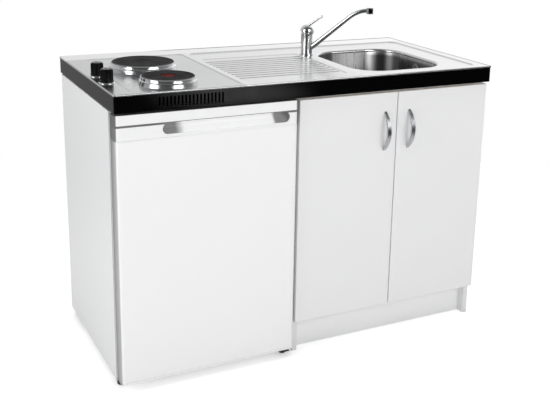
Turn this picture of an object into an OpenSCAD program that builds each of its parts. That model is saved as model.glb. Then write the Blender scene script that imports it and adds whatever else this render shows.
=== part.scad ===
// Kitchenette unit: pressed steel worktop with two hotplates, drainer and bowl,
// standing on a small refrigerator and a two-door base cabinet.
// Millimetres, +X to the right, +Y to the wall, +Z up, floor at z = 0.

/* [Worktop] */
// Width of the worktop
top_width = 1200; // [1180:5:1400]
// Depth of the worktop, front to back
top_depth = 600; // [600:5:640]
// Height of the worktop surface above the floor
top_height = 850; // [840:5:900]
// Height of the dark edge band
band_height = 50; // [48:1:60]
// Thickness of the steel sheet
sheet_thickness = 1.2; // [0.8:0.1:1.4]
// Thickness of the edge band boards
fascia_thickness = 12; // [8:1:16]
// Depth of the down-turned steel lip
lip_height = 5; // [4:0.5:8]
// Plan radius of the worktop corners
corner_radius = 6; // [4:1:12]
// Width of the raised ledge along the back
ledge_width = 84; // [70:2:100]
// Thickness of the timbers under the sheet
timber_thickness = 18; // [15:1:22]
// Number of vent slots in the front band
vent_count = 18; // [10:1:24]
// Spacing of the vent slots
vent_pitch = 10.4; // [8:0.2:14]
// Width of one vent slot
vent_width = 5; // [3:0.5:6]
// Height of the vent slots
vent_height = 29; // [20:1:34]
// Height of the vent slots above the lower edge of the band
vent_from_below = 7; // [5:1:12]
// Distance of the middle of the vent slots from the left end
vent_from_left = 211; // [200:1:230]
// Half length of the gap in the frame at each hob switch
switch_clearance = 32; // [26:1:34]
// Distance of the hob cable entry from the left end
cable_from_left = 270; // [240:5:300]
// Radius of the hob cable entry
cable_entry_radius = 12; // [10:0.5:14]

/* [Sink side] */
// Length of the bowl opening, left to right
bowl_length = 320; // [280:5:360]
// Width of the bowl opening, front to back
bowl_width = 368; // [330:2:400]
// Plan radius of the bowl corners
bowl_radius = 96; // [70:2:120]
// Depth of the bowl below the sink field
bowl_depth = 149; // [120:1:180]
// Radius of the rolled bowl edge
bowl_edge_radius = 7; // [4:0.5:10]
// Radius between the bowl wall and its floor
bowl_floor_radius = 35; // [20:1:50]
// Distance from the bowl opening to the right end of the worktop
bowl_from_right = 114; // [90:2:160]
// Distance from the bowl opening to the front edge
bowl_from_front = 56; // [50:1:80]
// Steel border to the right of the sink field
sink_border_right = 38; // [32:1:44]
// Steel border in front of the sink field
sink_border_front = 26; // [20:1:30]
// Steel between the hob field and the sink field
field_gap = 14; // [10:1:20]
// Distance of the drainer from the left edge of the sink field
drainer_from_field = 10; // [8:1:16]
// Distance between the drainer and the bowl
drainer_from_bowl = 42; // [36:1:60]
// Distance of the drainer from the front edge
drainer_from_front = 64; // [60:1:76]
// How far the sink field lies below the border
field_drop = 3; // [1.5:0.5:5]
// How far the drainer lies below the sink field
drainer_drop = 1.5; // [1:0.25:2.5]
// Number of ribs on the drainer
rib_count = 10; // [6:1:11]
// Spacing of the ribs
rib_pitch = 29; // [24:0.5:32]
// Height of the ribs
rib_height = 2; // [1:0.25:3]
// Radius of the rounded rib section
rib_radius = 7; // [5:0.5:10]

/* [Hob side] */
// Steel border to the left of the hob field
hob_border_left = 52; // [50:1:56]
// Steel border in front of the hob field
hob_border_front = 13; // [10:1:16]
// Length of the hob field, left to right
hob_length = 312; // [306:2:320]
// Diameter of the rear hotplate
rear_plate_diameter = 180; // [145:5:185]
// Diameter of the front hotplate
front_plate_diameter = 145; // [145:5:150]
// Distance of the hotplate centres from the left end
plate_from_left = 181; // [175:1:190]
// Distance of the rear plate centre from the front edge
rear_plate_from_front = 327; // [325:1:340]
// Distance of the front plate centre from the front edge
front_plate_from_front = 103; // [100:1:110]
// How far the hob field lies below the border
hob_drop = 1.5; // [1:0.25:2.5]
// Height of the pressed collar round each plate
collar_height = 10; // [6:0.5:12]
// Height of the plate top above its collar
plate_rise = 12.5; // [11.5:0.5:14]
// Diameter of the hob knobs
knob_diameter = 37; // [30:1:38]
// Height of the hob knobs
knob_height = 35; // [25:1:40]
// Distance of the knobs from the left end
knob_from_left = 28; // [26:1:34]
// Distance of the rear knob from the front edge
rear_knob_from_front = 257; // [220:1:280]
// Distance of the front knob from the front edge
front_knob_from_front = 158; // [120:1:175]

/* [Tap] */
// Radius of the tap body
tap_radius = 18.5; // [18:0.5:20]
// Radius of the tap foot
tap_foot_radius = 22; // [21.5:0.5:24]
// Height of the swivel sleeve
tap_sleeve_height = 50; // [44:1:56]
// Reach of the spout, measured to the outlet
spout_reach = 203; // [180:1:230]
// Slope of the spout in degrees
spout_slope = 40.5; // [36:0.5:44]
// Direction of the spout, clockwise from the worktop's long side
spout_turn = 40; // [20:1:60]
// Radius of the spout tube at its end
spout_radius = 6.5; // [5.5:0.5:8]
// Length of the lever
lever_length = 52; // [44:1:60]
// Distance of the tap from the bowl opening, left to right
tap_from_bowl = 16; // [10:1:24]
// Distance of the tap in front of the back of the bowl opening
tap_from_bowl_back = 34; // [24:1:44]
// Height of the level run of the supply tails above the floor
tail_height = 450; // [420:5:480]

/* [Cabinet] */
// Board thickness of the cabinet
board = 16; // [15:1:18]
// Thickness of the cabinet doors
door_thickness = 16; // [15:1:18]
// Gap between door back and cabinet front
door_gap = 3; // [2.5:0.5:4]
// Gap between the two cabinet doors
door_split = 3; // [2:0.5:4]
// Distance of the cabinet door front behind the worktop front
door_setback = 15.5; // [14:0.5:20]
// Thickness of the back panel
back_thickness = 3; // [2.5:0.5:5]
// Height of the plinth
plinth_height = 100; // [80:5:110]
// Distance of the plinth behind the cabinet front
plinth_setback = 26; // [20:1:60]
// Gap above the cabinet doors
door_top_gap = 10; // [6:1:16]
// Length of the bow handles
handle_length = 121; // [100:1:140]
// Distance the bow handles stand out
handle_stand = 29.5; // [24:0.5:34]
// Distance of the handles from the door gap
handle_inset = 42.5; // [35:0.5:55]
// Distance of the handle centre below the door top
handle_drop = 118; // [90:1:150]
// Height of the front rail
front_rail_height = 64; // [50:2:80]
// Height of the back rail
back_rail_height = 100; // [90:2:120]
// Distance between the two wall fixing holes
wall_hole_spacing = 340; // [300:10:400]
// Radius of the hinge cups let into the doors
hinge_cup_radius = 17.5; // [17:0.5:18]

/* [Refrigerator] */
// Width of the refrigerator
fridge_width = 526; // [500:2:540]
// Gap between the refrigerator and the cabinet
fridge_gap = 12; // [12:1:24]
// Depth of the refrigerator body
fridge_body_depth = 524; // [500:1:526]
// Thickness of the refrigerator door
fridge_door_thickness = 44; // [40:1:54]
// Gap between the refrigerator door and body
fridge_seal_gap = 15; // [14:0.5:20]
// Wall thickness of the refrigerator body
fridge_wall = 36; // [32:1:40]
// Thickness of the refrigerator's outer side sheets
fridge_side_sheet = 1.2; // [0.8:0.1:2]
// Height of the handle strip at the door top
grip_strip_height = 69; // [60:1:80]
// Length of the finger recess
grip_length = 372; // [300:2:400]
// Height of the finger recess
grip_height = 30; // [24:1:36]
// Height of the feet
foot_height = 16; // [14:1:24]
// Thickness of the glass shelves
shelf_thickness = 4; // [3:0.5:5]
// Height of the crisper space
crisper_space = 176; // [160:2:180]
// Depth of the step above the compressor
step_depth = 160; // [150:2:166]
// Height of the lower glass shelf above the step
first_shelf = 131; // [110:1:134]
// Distance between the glass shelves
shelf_pitch = 130; // [110:1:132]
// Height of the icebox
icebox_height = 120; // [110:2:124]
// Height of the door racks
rack_height = 62; // [50:1:70]
// Depth of the door racks
rack_depth = 80; // [60:1:82]
// Height of the lower door rack above the cave floor
low_rack_rise = 275; // [250:5:290]
// Height of the upper door rack above the cave floor
high_rack_rise = 470; // [440:5:490]
// Height of the bottle rack
bottle_rack_height = 108; // [90:2:120]
// Depth of the bottle rack
bottle_rack_depth = 82; // [70:1:84]
// Height of the bottle rack above the cave floor
bottle_rack_rise = 40; // [38:1:60]
// Distance of the thermostat housing's foot below the icebox
thermostat_drop = 92; // [80:1:110]
// Distance of the thermostat knob behind the front edge of the shelves
thermostat_from_front = 80; // [60:2:110]
// Reach of the refrigerator's hinge plates over and under the body
hinge_plate_reach = 50; // [40:1:70]
// Radius of the compressor
compressor_radius = 68; // [60:1:69]

/* [Waste] */
// Radius of the waste pipe
pipe_radius = 20; // [16:1:22]
// Wall of the plastic waste parts
pipe_wall = 2; // [1.5:0.5:3]
// Height of the waste outlet above the floor
outlet_height = 530; // [480:5:580]

/* [Hidden] */
$fn = 48;
// radial play of parts that turn in each other
run_play = 0.05;
// gap between parts that pass each other
pass_gap = 0.4;
xl = -top_width / 2;
xr = top_width / 2;
yf = -top_depth / 2;
yb = top_depth / 2;
band_z = top_height - band_height;
front_over = handle_stand - door_setback;
y_shift = front_over / 2;
// border round the pressed fields
rim_round = 3;
// overlap of neighbouring stretches of the same sheet
lap = 0.6;
field_back = yb - ledge_width;
hob_left = xl + hob_border_left;
hob_right = hob_left + hob_length;
hob_front = yf + hob_border_front;
hob_slope = 4;
hob_corner = 22;
hob_z = top_height - hob_drop;
sink_left = hob_right + field_gap;
sink_right = xr - sink_border_right;
sink_front = yf + sink_border_front;
sink_slope = 5;
sink_corner = 25;
field_z = top_height - field_drop;
// bowl and drainer
bowl_x1 = xr - bowl_from_right;
bowl_x0 = bowl_x1 - bowl_length;
bowl_y0 = yf + bowl_from_front;
bowl_y1 = bowl_y0 + bowl_width;
bowl_cx = (bowl_x0 + bowl_x1) / 2;
bowl_cy = (bowl_y0 + bowl_y1) / 2;
bowl_wall_r = bowl_radius - bowl_edge_radius;
bowl_weld_z = field_z - bowl_edge_radius - 3;
bowl_floor_z = field_z - bowl_depth;
drain_slope = 3;
drain_corner = 16;
drain_x0 = sink_left + drainer_from_field;
drain_x1 = bowl_x0 - drainer_from_bowl;
drain_y0 = yf + drainer_from_front;
drain_y1 = bowl_y1 - 6;
drain_z = field_z - drainer_drop;
rib_y0 = (drain_y0 + drain_y1) / 2 - rib_pitch * (rib_count - 1) / 2;
under_z = drain_z - sheet_thickness - 0.3;
// tap
tap_x = bowl_x0 - tap_from_bowl;
tap_y = bowl_y1 - tap_from_bowl_back;
tap_hole_radius = 17.5;
tap_core_radius = 15;
tap_foot_height = 4;
tap_sleeve_z = field_z + tap_foot_height + pass_gap;
tap_collar_z = tap_sleeve_z + tap_sleeve_height + pass_gap;
tap_collar_height = 10;
tap_neck_z = tap_collar_z + tap_collar_height;
tap_ball_z = tap_neck_z + 10.8;
tap_ball_radius = 18;
hood_wall = 4;
hood_slant = 15;
tap_stem_radius = 6;
tap_pin_radius = 2;
spout_root_x = 12;
spout_root_z = tap_sleeve_z + 17;
spout_bend = 100;
spout_tip = 6;
spout_run = (spout_reach - 10 - spout_root_x
  - spout_bend * (sin(spout_slope) - sin(spout_tip))) / cos(spout_slope);
spout_end_z = spout_root_z + spout_run * sin(spout_slope)
  + spout_bend * (cos(spout_tip) - cos(spout_slope));
nozzle_radius = 10.5;
tail_radius = 5;
tail_stub_radius = 4;
tail_bend = 40;
tail_offset = 7;
// hob
plate_x = xl + plate_from_left;
rear_plate_y = yf + rear_plate_from_front;
front_plate_y = yf + front_plate_from_front;
collar_z = hob_z + collar_height;
plate_top_z = collar_z + plate_rise;
knob_x = xl + knob_from_left;
rear_knob_y = yf + rear_knob_from_front;
front_knob_y = yf + front_knob_from_front;
bezel_height = 3;
spindle_radius = 3;
cable_rise = 22;
// refrigerator
fridge_x0 = xl + 2;
fridge_x1 = fridge_x0 + fridge_width;
fridge_door_front = yf + 2;
fridge_door_back = fridge_door_front + fridge_door_thickness;
fridge_front = fridge_door_back + fridge_seal_gap;
fridge_back = fridge_front + fridge_body_depth;
fridge_top = band_z - 4;
fridge_z0 = foot_height;
fridge_door_z0 = fridge_z0 + 12;
fridge_door_z1 = fridge_top - 2;
grip_z0 = fridge_door_z1 - grip_strip_height;
hinge_x = fridge_x1 - 22;
hinge_y = fridge_door_front + 24;
hinge_pin = 4;
cave_x0 = fridge_x0 + fridge_wall;
cave_x1 = fridge_x1 - fridge_wall;
cave_y1 = fridge_back - 40;
cave_z0 = fridge_z0 + 44;
cave_z1 = fridge_top - fridge_wall;
step_y = cave_y1 - step_depth;
step_z = cave_z0 + crisper_space;
// compressor bay below and behind the step
bay_y0 = step_y + fridge_wall;
bay_z1 = step_z - fridge_wall;
bay_x0 = fridge_x0 + fridge_side_sheet;
bay_x1 = fridge_x1 - fridge_side_sheet;
liner = 2.5;
in_x0 = cave_x0 + liner;
in_x1 = cave_x1 - liner;
in_y1 = cave_y1 - liner;
rack_x0 = cave_x0 + 20;
rack_x1 = cave_x1 - 20;
rack_y1 = fridge_front + 70;
shelf_y0 = rack_y1 + 26;
ice_z0 = cave_z1 - icebox_height;
shelf_levels = [step_z + first_shelf, step_z + first_shelf + shelf_pitch];
// cabinet
cab_x0 = fridge_x1 + fridge_gap;
cab_x1 = xr - 2;
door_front = yf + door_setback;
door_back = door_front + door_thickness;
cab_front = door_back + door_gap;
cab_back = yb - 16;
door_z0 = plinth_height + 3;
door_z1 = band_z - door_top_gap;
door_mid = (cab_x0 + cab_x1) / 2;
handle_z = door_z1 - handle_drop;
handle_mid_thickness = 7.5;
// door hinges: pivot measured from the door edge and from the door's back
pivot_in = 6.6;
pivot_deep = 8;
cup_in = 20.5;
cup_deep = 11.5;
cup_wall = 0.8;
eye_radius = 2;
hinge_z_low = door_z0 + 90;
hinge_z_high = door_z1 - 90;
wall_hole_radius = 4;
// waste
waste_x = bowl_cx;
waste_y = bowl_cy;
seat_z = bowl_floor_z - 5;
overflow_radius = 10;
grey = [0.75, 0.76, 0.78];
white = [0.93, 0.93, 0.92];
black = [0.05, 0.05, 0.05];
chrome = [0.82, 0.83, 0.85];

// ---------- helpers ----------
module block(x0, x1, y0, y1, z0, z1) {
  translate([x0, y0, z0]) cube([x1 - x0, y1 - y0, z1 - z0]);
}

// flat rectangle with rounded corners
module round_rect(x0, x1, y0, y1, r) {
  translate([x0 + r, y0]) square([x1 - x0 - 2 * r, y1 - y0]);
  translate([x0, y0 + r]) square([x1 - x0, y1 - y0 - 2 * r]);
  for (x = [x0 + r, x1 - r])
    for (y = [y0 + r, y1 - r])
      translate([x, y]) circle(r);
}

module slab(x0, x1, y0, y1, r, z0, h) {
  translate([0, 0, z0]) linear_extrude(h) round_rect(x0, x1, y0, y1, r);
}

// a profile carried round a rounded rectangle; profile x is measured outwards
// from the corner centre, profile y is height
module carried(x0, x1, y0, y1, r) {
  lx = x1 - x0 - 2 * r;
  ly = y1 - y0 - 2 * r;
  translate([x1 - r, y1 - r, 0]) rotate_extrude(angle = 90) children();
  translate([x0 + r, y1 - r, 0]) rotate([0, 0, 90]) rotate_extrude(angle = 90) children();
  translate([x0 + r, y0 + r, 0]) rotate([0, 0, 180]) rotate_extrude(angle = 90) children();
  translate([x1 - r, y0 + r, 0]) rotate([0, 0, 270]) rotate_extrude(angle = 90) children();
  translate([x1 - r, y1 - r, 0]) rotate([90, 0, 0]) linear_extrude(ly) children();
  translate([x0 + r, y0 + r, 0]) rotate([90, 0, 180]) linear_extrude(ly) children();
  translate([x0 + r, y1 - r, 0]) rotate([90, 0, 90]) linear_extrude(lx) children();
  translate([x1 - r, y0 + r, 0]) rotate([90, 0, -90]) linear_extrude(lx) children();
}

// sheet slope from one level down to the next, lapping into both levels
module slope_profile(r, run, z, drop) {
  t = sheet_thickness;
  polygon([
    [r + lap, z], [r + lap, z - t], [r, z - t], [r - run, z - drop - t],
    [r - run - lap, z - drop - t], [r - run - lap, z - drop], [r - run, z - drop], [r, z]
  ]);
}

module lip_profile() {
  t = sheet_thickness;
  c = corner_radius - rim_round;
  translate([c, top_height - rim_round]) intersection() {
    difference() {
      circle(rim_round);
      circle(rim_round - t);
    }
    square(rim_round);
  }
  translate([corner_radius - t, top_height - lip_height]) square([t, lip_height - rim_round]);
  translate([c - lap, top_height - t]) square([lap + 0.1, t]);
}

module bowl_edge_profile() {
  t = sheet_thickness;
  translate([bowl_radius, field_z - bowl_edge_radius]) intersection() {
    difference() {
      circle(bowl_edge_radius);
      circle(bowl_edge_radius - t);
    }
    translate([-bowl_edge_radius, 0]) square(bowl_edge_radius);
  }
  translate([bowl_radius, field_z - t]) square([lap, t]);
  translate([bowl_wall_r, bowl_weld_z]) square([t, 3]);
}

// ---------- worktop ----------
module hob_collar(r) {
  t = sheet_thickness;
  rotate_extrude()
    polygon([
      [r + 9, hob_z], [r + 5, collar_z], [r - 8, collar_z], [r - 8, collar_z - t],
      [r + 4.1, collar_z - t], [r + 7.8, hob_z - t], [r + 9, hob_z - t]
    ]);
}

module drainer_rib(y) {
  z = drain_z + rib_height - rib_radius;
  x0 = drain_x0 + drain_slope + rib_radius;
  x1 = drain_x1 - drain_slope - rib_radius;
  intersection() {
    union() {
      translate([x0, y, z]) rotate([0, 90, 0]) cylinder(h = x1 - x0, r = rib_radius);
      for (x = [x0, x1]) translate([x, y, z]) sphere(rib_radius);
    }
    block(drain_x0, drain_x1, y - 20, y + 20, drain_z - 0.6, drain_z + 10);
  }
}

module worktop_sheet() {
  t = sheet_thickness;
  rr = rear_plate_diameter / 2;
  fr = front_plate_diameter / 2;
  color(grey) difference() {
    union() {
      difference() {
        slab(xl + rim_round, xr - rim_round, yf + rim_round, yb - rim_round,
          corner_radius - rim_round, top_height - t, t);
        slab(hob_left, hob_right, hob_front, field_back, hob_corner, top_height - 3, 6);
        slab(sink_left, sink_right, sink_front, field_back, sink_corner, top_height - 3, 6);
      }
      carried(xl, xr, yf, yb, corner_radius) lip_profile();
      carried(hob_left, hob_right, hob_front, field_back, hob_corner)
        slope_profile(hob_corner, hob_slope, top_height, hob_drop);
      difference() {
        slab(hob_left + hob_slope, hob_right - hob_slope, hob_front + hob_slope,
          field_back - hob_slope, hob_corner - hob_slope, hob_z - t, t);
        translate([plate_x, rear_plate_y, hob_z - 3]) cylinder(h = 6, r = rr + 8.5);
        translate([plate_x, front_plate_y, hob_z - 3]) cylinder(h = 6, r = fr + 8.5);
      }
      translate([plate_x, rear_plate_y, 0]) hob_collar(rr);
      translate([plate_x, front_plate_y, 0]) hob_collar(fr);
      carried(sink_left, sink_right, sink_front, field_back, sink_corner)
        slope_profile(sink_corner, sink_slope, top_height, field_drop);
      difference() {
        slab(sink_left + sink_slope, sink_right - sink_slope, sink_front + sink_slope,
          field_back - sink_slope, sink_corner - sink_slope, field_z - t, t);
        slab(bowl_x0, bowl_x1, bowl_y0, bowl_y1, bowl_radius, field_z - 3, 6);
        slab(drain_x0, drain_x1, drain_y0, drain_y1, drain_corner, field_z - 3, 6);
      }
      carried(bowl_x0, bowl_x1, bowl_y0, bowl_y1, bowl_radius) bowl_edge_profile();
      carried(drain_x0, drain_x1, drain_y0, drain_y1, drain_corner)
        slope_profile(drain_corner, drain_slope, field_z, drainer_drop);
      slab(drain_x0 + drain_slope, drain_x1 - drain_slope, drain_y0 + drain_slope,
        drain_y1 - drain_slope, drain_corner - drain_slope, drain_z - t, t);
      for (i = [0 : rib_count - 1]) drainer_rib(rib_y0 + i * rib_pitch);
    }
    translate([tap_x, tap_y, field_z - 5]) cylinder(h = 10, r = tap_hole_radius);
    for (y = [rear_knob_y, front_knob_y])
      translate([knob_x, y, top_height - 5]) cylinder(h = 10, r = 5);
  }
}

module sink_bowl() {
  t = sheet_thickness;
  fr = bowl_floor_radius;
  color(grey) difference() {
    union() {
      carried(bowl_x0, bowl_x1, bowl_y0, bowl_y1, bowl_radius) {
        union() {
          translate([bowl_wall_r, bowl_floor_z + fr])
            square([t, bowl_weld_z - bowl_floor_z - fr]);
          translate([bowl_wall_r - fr, bowl_floor_z + fr]) intersection() {
            difference() {
              circle(fr + t);
              circle(fr);
            }
            translate([0, -fr - t]) square(fr + t);
          }
        }
      }
      difference() {
        slab(bowl_x0 + bowl_edge_radius + fr, bowl_x1 - bowl_edge_radius - fr,
          bowl_y0 + bowl_edge_radius + fr, bowl_y1 - bowl_edge_radius - fr,
          bowl_wall_r - fr, bowl_floor_z - t, t);
        translate([waste_x, waste_y, bowl_floor_z - 5]) cylinder(h = 10, r = 44);
      }
      translate([waste_x, waste_y, 0]) rotate_extrude()
        polygon([
          [44, bowl_floor_z], [40, seat_z], [30, seat_z], [30, seat_z - t],
          [40.6, seat_z - t], [44, bowl_floor_z - t]
        ]);
    }
    // overflow opening in the right-hand wall
    translate([bowl_x1 - bowl_edge_radius - 2, bowl_cy, field_z - 42])
      rotate([0, 90, 0]) cylinder(h = 12, r = 14);
  }
}

// the room inside the down-turned lip, with its rounded corners
module band_outline(z1) {
  t = sheet_thickness;
  slab(xl + t, xr - t, yf + t, yb - t, corner_radius - t, band_z - 1, z1 - band_z + 2);
}

module front_band() {
  z1 = top_height - rim_round - 0.2;
  x_mid = xl + vent_from_left;
  color(black) difference() {
    intersection() {
      block(xl, xr, yf, yf + sheet_thickness + fascia_thickness, band_z, z1);
      band_outline(z1);
    }
    for (i = [0 : vent_count - 1])
      translate([x_mid + (i - (vent_count - 1) / 2) * vent_pitch, yf, band_z + vent_from_below])
        translate([-vent_width / 2, -1, 0])
        cube([vent_width, fascia_thickness + 6, vent_height]);
  }
}

module side_bands() {
  z1 = top_height - rim_round - 0.2;
  t = sheet_thickness;
  y0 = yf + t + fascia_thickness;
  color(black) intersection() {
    union() {
      block(xl, xl + t + fascia_thickness, y0, yb, band_z, z1);
      block(xr - t - fascia_thickness, xr, y0, yb, band_z, z1);
    }
    band_outline(z1);
  }
}

module support_frame() {
  in_l = xl + sheet_thickness + fascia_thickness;
  in_r = xr - sheet_thickness - fascia_thickness;
  in_f = yf + sheet_thickness + fascia_thickness;
  in_b = yb - sheet_thickness;
  w = timber_thickness;
  sw = switch_clearance;
  // play at the butt joints
  g = 0.2;
  y0 = in_f + w + g;
  y1 = in_b - w - g;
  color([0.72, 0.6, 0.42]) difference() {
    union() {
      block(in_l, in_r, in_b - w, in_b, band_z, under_z);
      block(in_r - w, in_r, y0, y1, band_z, under_z);
      block(hob_right, in_r, in_f, in_f + w, band_z, under_z);
      block(in_l, in_l + w, rear_knob_y + sw, y1, band_z, under_z);
      block(in_l, in_l + w, in_f, front_knob_y - sw, band_z, under_z);
      block(hob_right, hob_right + w, y0, y1, band_z, under_z);
      block(cab_x0, cab_x0 + w, y0, y1, band_z, under_z);
      // packing strips between the refrigerator and the frame
      block(in_l, in_l + w, rear_knob_y + sw, y1, fridge_top, band_z - g);
      block(hob_right, hob_right + w, yf + 100, y1, fridge_top, band_z - g);
    }
    // cable entry
    translate([xl + cable_from_left, in_b - w - 1, band_z + cable_rise]) rotate([-90, 0, 0])
      cylinder(h = w + 2, r = cable_entry_radius);
  }
}

module hob_tray() {
  x0 = xl + 55;
  x1 = hob_right - 4;
  y0 = yf + sheet_thickness + fascia_thickness + 3;
  y1 = field_back + 20;
  z0 = band_z + 2;
  z1 = under_z - 1;
  color([0.7, 0.72, 0.73]) {
    difference() {
      block(x0, x1, y0, y1, z0, z1);
      block(x0 + 1, x1 - 1, y0 + 1, y1 - 1, z0 + 1, z1 + 1);
      block(x0 + 10, x1 - 10, y0 - 1, y0 + 3, z0 + 8, z1 + 1);
      translate([xl + cable_from_left, y1 - 5, band_z + cable_rise]) rotate([-90, 0, 0])
        cylinder(h = 10, r = cable_entry_radius);
    }
    for (y = [rear_plate_y, front_plate_y])
      translate([plate_x, y, z0]) cylinder(h = hob_z - 1 - z0, r = 6);
  }
}

// ---------- hob ----------
module hotplate(r) {
  zt = plate_top_z;
  zb = collar_z + 0.9;
  rotate_extrude()
    polygon([
      [0, zt - 1.3], [20, zt - 1.3], [22.5, zt], [r - 2, zt], [r - 0.6, zt - 0.6],
      [r, zt - 2], [r, zb + 2], [r - 1.5, zb], [r - 10, zb], [r - 10, zb - 8],
      [r - 13, zb - 8], [r - 13, zb + 3], [14, zb + 3], [14, hob_z - 1], [0, hob_z - 1]
    ]);
}

module hotplate_rear() {
  color([0.12, 0.12, 0.13]) translate([plate_x, rear_plate_y, 0])
    hotplate(rear_plate_diameter / 2);
}

module hotplate_front() {
  color([0.12, 0.12, 0.13]) translate([plate_x, front_plate_y, 0])
    hotplate(front_plate_diameter / 2);
}

module spill_ring(r) {
  z = collar_z;
  h = plate_rise - 2;
  rotate_extrude()
    polygon([
      [r - 6, z], [r + 6, z], [r + 6, z + 1], [r + 3.8, z + h * 0.36], [r + 2.7, z + h * 0.68],
      [r + 2.2, z + h - 0.4], [r + 0.6, z + h], [r + 0.6, z + h - 0.9],
      [r + 1.4, z + h - 1.3], [r + 1.9, z + h * 0.66], [r + 3, z + h * 0.3],
      [r + 3.8, z + 1.8], [r + 3.4, z + 0.9], [r - 6, z + 0.9]
    ]);
}

module spill_ring_rear() {
  color(chrome) translate([plate_x, rear_plate_y, 0]) spill_ring(rear_plate_diameter / 2);
}

module spill_ring_front() {
  color(chrome) translate([plate_x, front_plate_y, 0]) spill_ring(front_plate_diameter / 2);
}

module hob_switches() {
  zu = top_height - sheet_thickness;
  color([0.85, 0.84, 0.8])
    for (y = [rear_knob_y, front_knob_y]) difference() {
      union() {
        block(knob_x - 14, knob_x + 16, y - 20, y + 20, band_z + 6, zu);
        translate([knob_x, y, zu - 3]) cylinder(h = 3 + sheet_thickness, r = 4.9);
      }
      translate([knob_x, y, zu - 16]) cylinder(h = 30, r = spindle_radius + run_play);
    }
}

module knob_bezels() {
  r = knob_diameter / 2 + 4;
  color(chrome)
    for (y = [rear_knob_y, front_knob_y]) translate([knob_x, y, top_height])
      rotate_extrude()
        polygon([
          [6, 0], [r, 0], [r, 0.8], [r - 1.6, bezel_height], [r - 6, bezel_height],
          [r - 8, bezel_height - 1.4], [6, bezel_height - 1.4]
        ]);
}

module hob_knob() {
  r = knob_diameter / 2;
  z0 = top_height + bezel_height + pass_gap;
  color([0.03, 0.03, 0.03]) {
    translate([0, 0, z0]) cylinder(h = 4, r = r);
    translate([0, 0, z0 + 4]) cylinder(h = 2, r1 = r, r2 = r - 2);
    translate([0, 0, z0 + 5]) cylinder(h = knob_height - 6, r1 = r - 2.2, r2 = r - 3.4);
    for (a = [0 : 20 : 359]) rotate([0, 0, a]) translate([r - 2.6, 0, z0 + 5])
      cylinder(h = knob_height - 8, r = 1.5, $fn = 24);
    translate([0, 0, z0 + knob_height - 1]) cylinder(h = 1.2, r1 = r - 3.4, r2 = r - 4.6);
    translate([-1.2, 0, z0 + knob_height - 0.5]) cube([2.4, r - 5.5, 1.4]);
    translate([0, 0, top_height - 14]) cylinder(h = z0 + 6 - top_height + 14, r = spindle_radius);
  }
}

module knob_rear() {
  translate([knob_x, rear_knob_y, 0]) hob_knob();
}

module knob_front() {
  translate([knob_x, front_knob_y, 0]) hob_knob();
}

// ---------- tap ----------
module at_tap() {
  translate([tap_x, tap_y, 0]) rotate([0, 0, -spout_turn]) children();
}

module tap_body() {
  z = field_z;
  color(chrome) at_tap() difference() {
    union() {
      translate([0, 0, z]) cylinder(h = tap_foot_height - 1, r = tap_foot_radius);
      translate([0, 0, z + tap_foot_height - 1])
        cylinder(h = 1, r1 = tap_foot_radius, r2 = tap_foot_radius - 1.2);
      translate([0, 0, z]) cylinder(h = tap_collar_z - z + 1, r = tap_core_radius);
      translate([0, 0, tap_collar_z]) cylinder(h = tap_collar_height - 0.6, r = tap_radius);
      translate([0, 0, tap_neck_z - 0.6])
        cylinder(h = 0.6, r1 = tap_radius, r2 = tap_radius - 0.6);
    }
    translate([0, 0, tap_neck_z - 40]) cylinder(h = 60, r = tap_stem_radius + run_play);
  }
}

module tap_spout() {
  z0 = tap_sleeve_z;
  a = spout_slope;
  tip = spout_tip;
  bend = spout_bend;
  e1 = [spout_root_x + spout_run * cos(a), spout_root_z + spout_run * sin(a)];
  c = [e1[0] + bend * sin(a), e1[1] - bend * cos(a)];
  e2 = [c[0] - bend * sin(tip), c[1] + bend * cos(tip)];
  color(chrome) at_tap() difference() {
    union() {
      translate([0, 0, z0]) cylinder(h = tap_sleeve_height, r = tap_radius);
      translate([spout_root_x, 0, spout_root_z]) rotate([0, 90 - a, 0])
        cylinder(h = spout_run, r1 = spout_radius + 2.5, r2 = spout_radius);
      translate([c[0], 0, c[1]]) rotate([90, 0, 0]) rotate([0, 0, 89.6 + tip])
        rotate_extrude(angle = a - tip + 0.8) translate([bend, 0]) circle(spout_radius + 0.2);
      translate([e2[0], 0, e2[1]]) rotate([0, 90 - tip, 0]) cylinder(h = 10, r = spout_radius);
      translate([spout_reach, 0, spout_end_z - 7]) cylinder(h = 15, r = nozzle_radius);
      translate([spout_reach, 0, spout_end_z + 8])
        cylinder(h = 1.5, r1 = nozzle_radius, r2 = nozzle_radius - 1.5);
    }
    translate([0, 0, z0 - 1]) cylinder(h = tap_sleeve_height + 2, r = tap_core_radius + run_play);
    translate([spout_reach, 0, spout_end_z - 8]) cylinder(h = 9, r = nozzle_radius - 1.5);
  }
}

module tap_aerator() {
  r = nozzle_radius - 1.5;
  color([0.7, 0.71, 0.73]) at_tap() translate([spout_reach, 0, spout_end_z - 10]) difference() {
    union() {
      cylinder(h = 3, r = nozzle_radius + 0.5);
      cylinder(h = 10, r = r);
    }
    translate([0, 0, -1]) cylinder(h = 7, r = r - 1.5);
    translate([0, 0, 5]) for (a = [0 : 60 : 359]) rotate([0, 0, a]) translate([r / 2, 0, 0])
      cylinder(h = 8, r = 1.2, $fn = 16);
  }
}

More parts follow.
